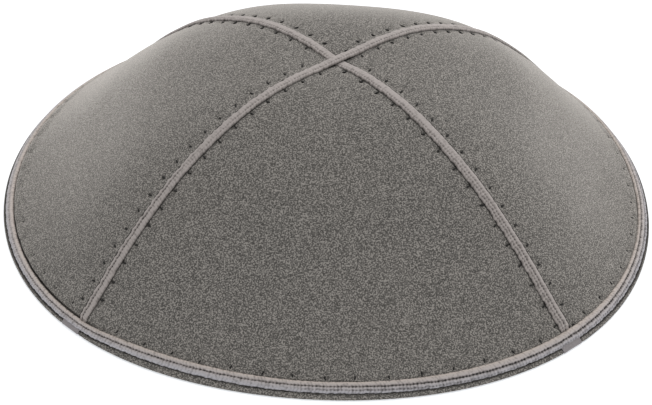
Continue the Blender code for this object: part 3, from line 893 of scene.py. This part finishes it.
def add_stitches(name, turn, out, ways, material):
    """Short swollen threads, one for each place: spindles whose half width is the sine of the way from end
    to end, to the power of the taper, laid along ways in its dimple, under the suede's plain face."""
    square = cap_directions(turn, out)[2]
    swing = chance.uniform(-STITCH_TILT, STITCH_TILT, len(turn))[:, None]
    length = STITCH_LENGTH / 2 * chance.uniform(*STITCH_LENGTHS, len(turn))[:, None, None, None]
    other = np.cross(square, ways)
    lengthwise = ways * np.cos(swing) + other * np.sin(swing)
    sideways = np.cross(square, lengthwise)
    bend = np.linspace(0, np.pi, SPINDLE_RINGS)[:, None, None]
    ring = np.linspace(0, 2 * np.pi, SPINDLE_SIDES, endpoint=False)[:, None]
    half_width = STITCH_THICKNESS / 2 * np.sin(bend) ** SPINDLE_TAPER
    spindle = (
        length * np.cos(bend) * lengthwise[:, None, None]
        + half_width * np.cos(ring) * sideways[:, None, None]
        + half_width * np.sin(ring) * square[:, None, None]
    )
    points = spindle + (cap_point(turn, out) - STITCH_DEPTH * square)[:, None, None]
    one = grid_faces(SPINDLE_RINGS, SPINDLE_SIDES, closed_columns=True)
    faces = one + (np.arange(len(turn)) * SPINDLE_RINGS * SPINDLE_SIDES)[:, None, None]
    return add_piece(name, points, faces.reshape(-1, 4).tolist(), material)


dark_thread = new_material("waxed_cotton_thread")
twist_place = add(dark_thread, "TexCoord").outputs["Object"]
twist_noise = {"Vector": twist_place, "Scale": 1 / 0.0003, "Detail": 1.0}
twist = add(dark_thread, "TexNoise", twist_noise).outputs["Fac"]
twist_colour = add(dark_thread, "ValToRGB", {0: twist}, stops=((0.0, "#0e0e0e"), (1.0, "#302f2d")))
finish_material(
    dark_thread,
    add(dark_thread, "BsdfPrincipled", {"Base Color": twist_colour.outputs[0], "Roughness": 0.8}),
)
level = cap_directions(*seam_stitches)[0]
add_stitches("seam_stitches", *seam_stitches, level, dark_thread)
down = cap_directions(*rim_stitches)[1]
add_stitches("rim_stitches", *rim_stitches, down, dark_thread)

# The tapes inside
# Narrow woven cotton tape, pale grey, over each seam on the inside. At the foot of the seam it goes round
# the rim in a notch of the hem, bulges as the hem's fold does beside it, and ends under the rim braid.
TAPE_CROSSING_FLAT = TAPE_WIDTH / 2 + GAP
TAPE_EDGE_RADIUS = 0.0002
TAPE_BEND_RADIUS = 0.0009
TAPE_FOLD_RADIUS = 0.0004  # round the foot of the hem
TAPE_PROUD = 0.0004  # how far it bulges there
TAPE_LIFT = 0.0001  # clear of what the cap stands on
TAPE_RAMP_BELOW = 0.0010  # where it begins to leave the hem's thick part, below the hem's height
TAPE_STEP = 0.0006
TAPE_END_STEPS = 8
TAPE_BEND_POINTS = 7
TAPE_EDGE_POINTS = 5
TAPE_FACE_POINTS = 13
TAPE_FACE_SHARE = 0.9  # of its width, taken up by them


def tape_route(seam, sink):
    """A tape's middle line from the end under the rim braid, round the hem and up to the crown, and the way
    across it. It is laid out as heights above the rim and depths under the outer face: straight down, round
    two quarter circles, and up the inner face."""
    half = TAPE_THICKNESS / 2
    bend = np.linspace(0, math.pi / 2, TAPE_BEND_POINTS)
    foot = half + TAPE_LIFT
    top = rim_braid_place(seam)[0] + TAPE_TUCK
    outer_above = np.linspace(top, TAPE_FOLD_RADIUS + foot, TAPE_END_STEPS + 1)[:-1]
    bulge = TAPE_PROUD * smooth_step(top - outer_above, TAPE_TUCK / 2, TAPE_TUCK / 2)
    outer = np.stack((outer_above, half - bulge), axis=-1)
    first_depth = half - TAPE_PROUD + TAPE_FOLD_RADIUS * (1 - np.cos(bend))
    first = np.stack((foot + TAPE_FOLD_RADIUS * (1 - np.sin(bend)), first_depth), axis=-1)
    radius = TAPE_BEND_RADIUS
    deepest = HEM_THICKNESS + GAP + half
    second = np.stack((foot + radius * (1 - np.cos(bend)), deepest - radius * (1 - np.sin(bend))), axis=-1)
    length = slope_lengths(float(seam))[-1]
    up_above = np.arange(foot + radius, length, TAPE_STEP)[1:]
    ramp = smooth_step(up_above, HEM_HEIGHT - TAPE_RAMP_BELOW, HEM_HEIGHT)
    crossing = 1 - smooth_step(length - up_above, TAPE_CROSSING_FLAT, CROSSING_SLOPE)
    up_depth = HEM_THICKNESS + (SUEDE - HEM_THICKNESS) * ramp + GAP + half + sink * crossing
    up = np.stack((up_above, up_depth), axis=-1)
    above, depth = np.concatenate((outer, first, second, up)).T
    out = out_above_rim(float(seam), above)
    return inside(tape_turn(seam, out), out, depth), cap_directions(tape_turn(seam, out), out)[0]


def add_tape(name, node, seam, sink, material):
    """A tape from rim to rim: a flat strip with rounded edges, carried along its middle line."""
    first, first_side = tape_route(seam, sink)
    second, second_side = tape_route(seam + 2, sink)
    path = np.concatenate((first, second[::-1]))
    side = np.concatenate((first_side, -second_side[::-1]))
    ahead = np.gradient(path, axis=0)
    side = unit(side - ahead * (np.sum(side * ahead, axis=-1) / np.sum(ahead**2, axis=-1))[:, None])
    square = unit(np.cross(ahead, side))
    arc = np.linspace(-math.pi / 2, math.pi / 2, TAPE_EDGE_POINTS)
    edge_across = TAPE_WIDTH / 2 - TAPE_EDGE_RADIUS * (1 - np.cos(arc))
    edge_up = TAPE_THICKNESS / 2 * np.sin(arc)
    inner = np.linspace(TAPE_FACE_SHARE, -TAPE_FACE_SHARE, TAPE_FACE_POINTS)[:, None] * TAPE_WIDTH / 2
    top = np.concatenate((inner, TAPE_THICKNESS / 2 + 0 * inner), axis=1)
    right = np.stack((edge_across, edge_up), axis=-1)
    outline = np.concatenate((right, top, right[::-1] * (-1, 1), top[::-1] * (1, -1)))
    points = path[:, None] + outline[:, :1] * side[:, None] + outline[:, 1:] * square[:, None]
    tape = add_piece(name, points, tube_faces(*points.shape[:2]), material)
    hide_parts(node)


cotton = new_material("woven_cotton_tape")
cotton_place = add(cotton, "TexCoord").outputs["Object"]
cotton_threads = {"Vector": cotton_place, "Scale": 1 / 0.0004, "Detail": 2.0}
cotton_noise = add(cotton, "TexNoise", cotton_threads).outputs["Fac"]
cotton_colour = add(cotton, "ValToRGB", {0: cotton_noise}, stops=((0.0, "#847f80"), (1.0, "#a9a3a4")))
cotton_bump = add(cotton, "Bump", {"Height": cotton_noise, "Strength": 0.5, "Distance": 0.00008}).outputs[0]
finish_material(
    cotton,
    add(
        cotton,
        "BsdfPrincipled",
        {
            "Base Color": cotton_colour.outputs[0],
            "Roughness": 0.85,
            "Sheen Weight": 0.1,
            "Normal": cotton_bump,
        },
    ),
)
add_tape("tape_upper", "seam_tape_upper", 1, 0.0, cotton)
add_tape("tape_lower", "seam_tape_lower", 0, TAPE_THICKNESS + GAP, cotton)
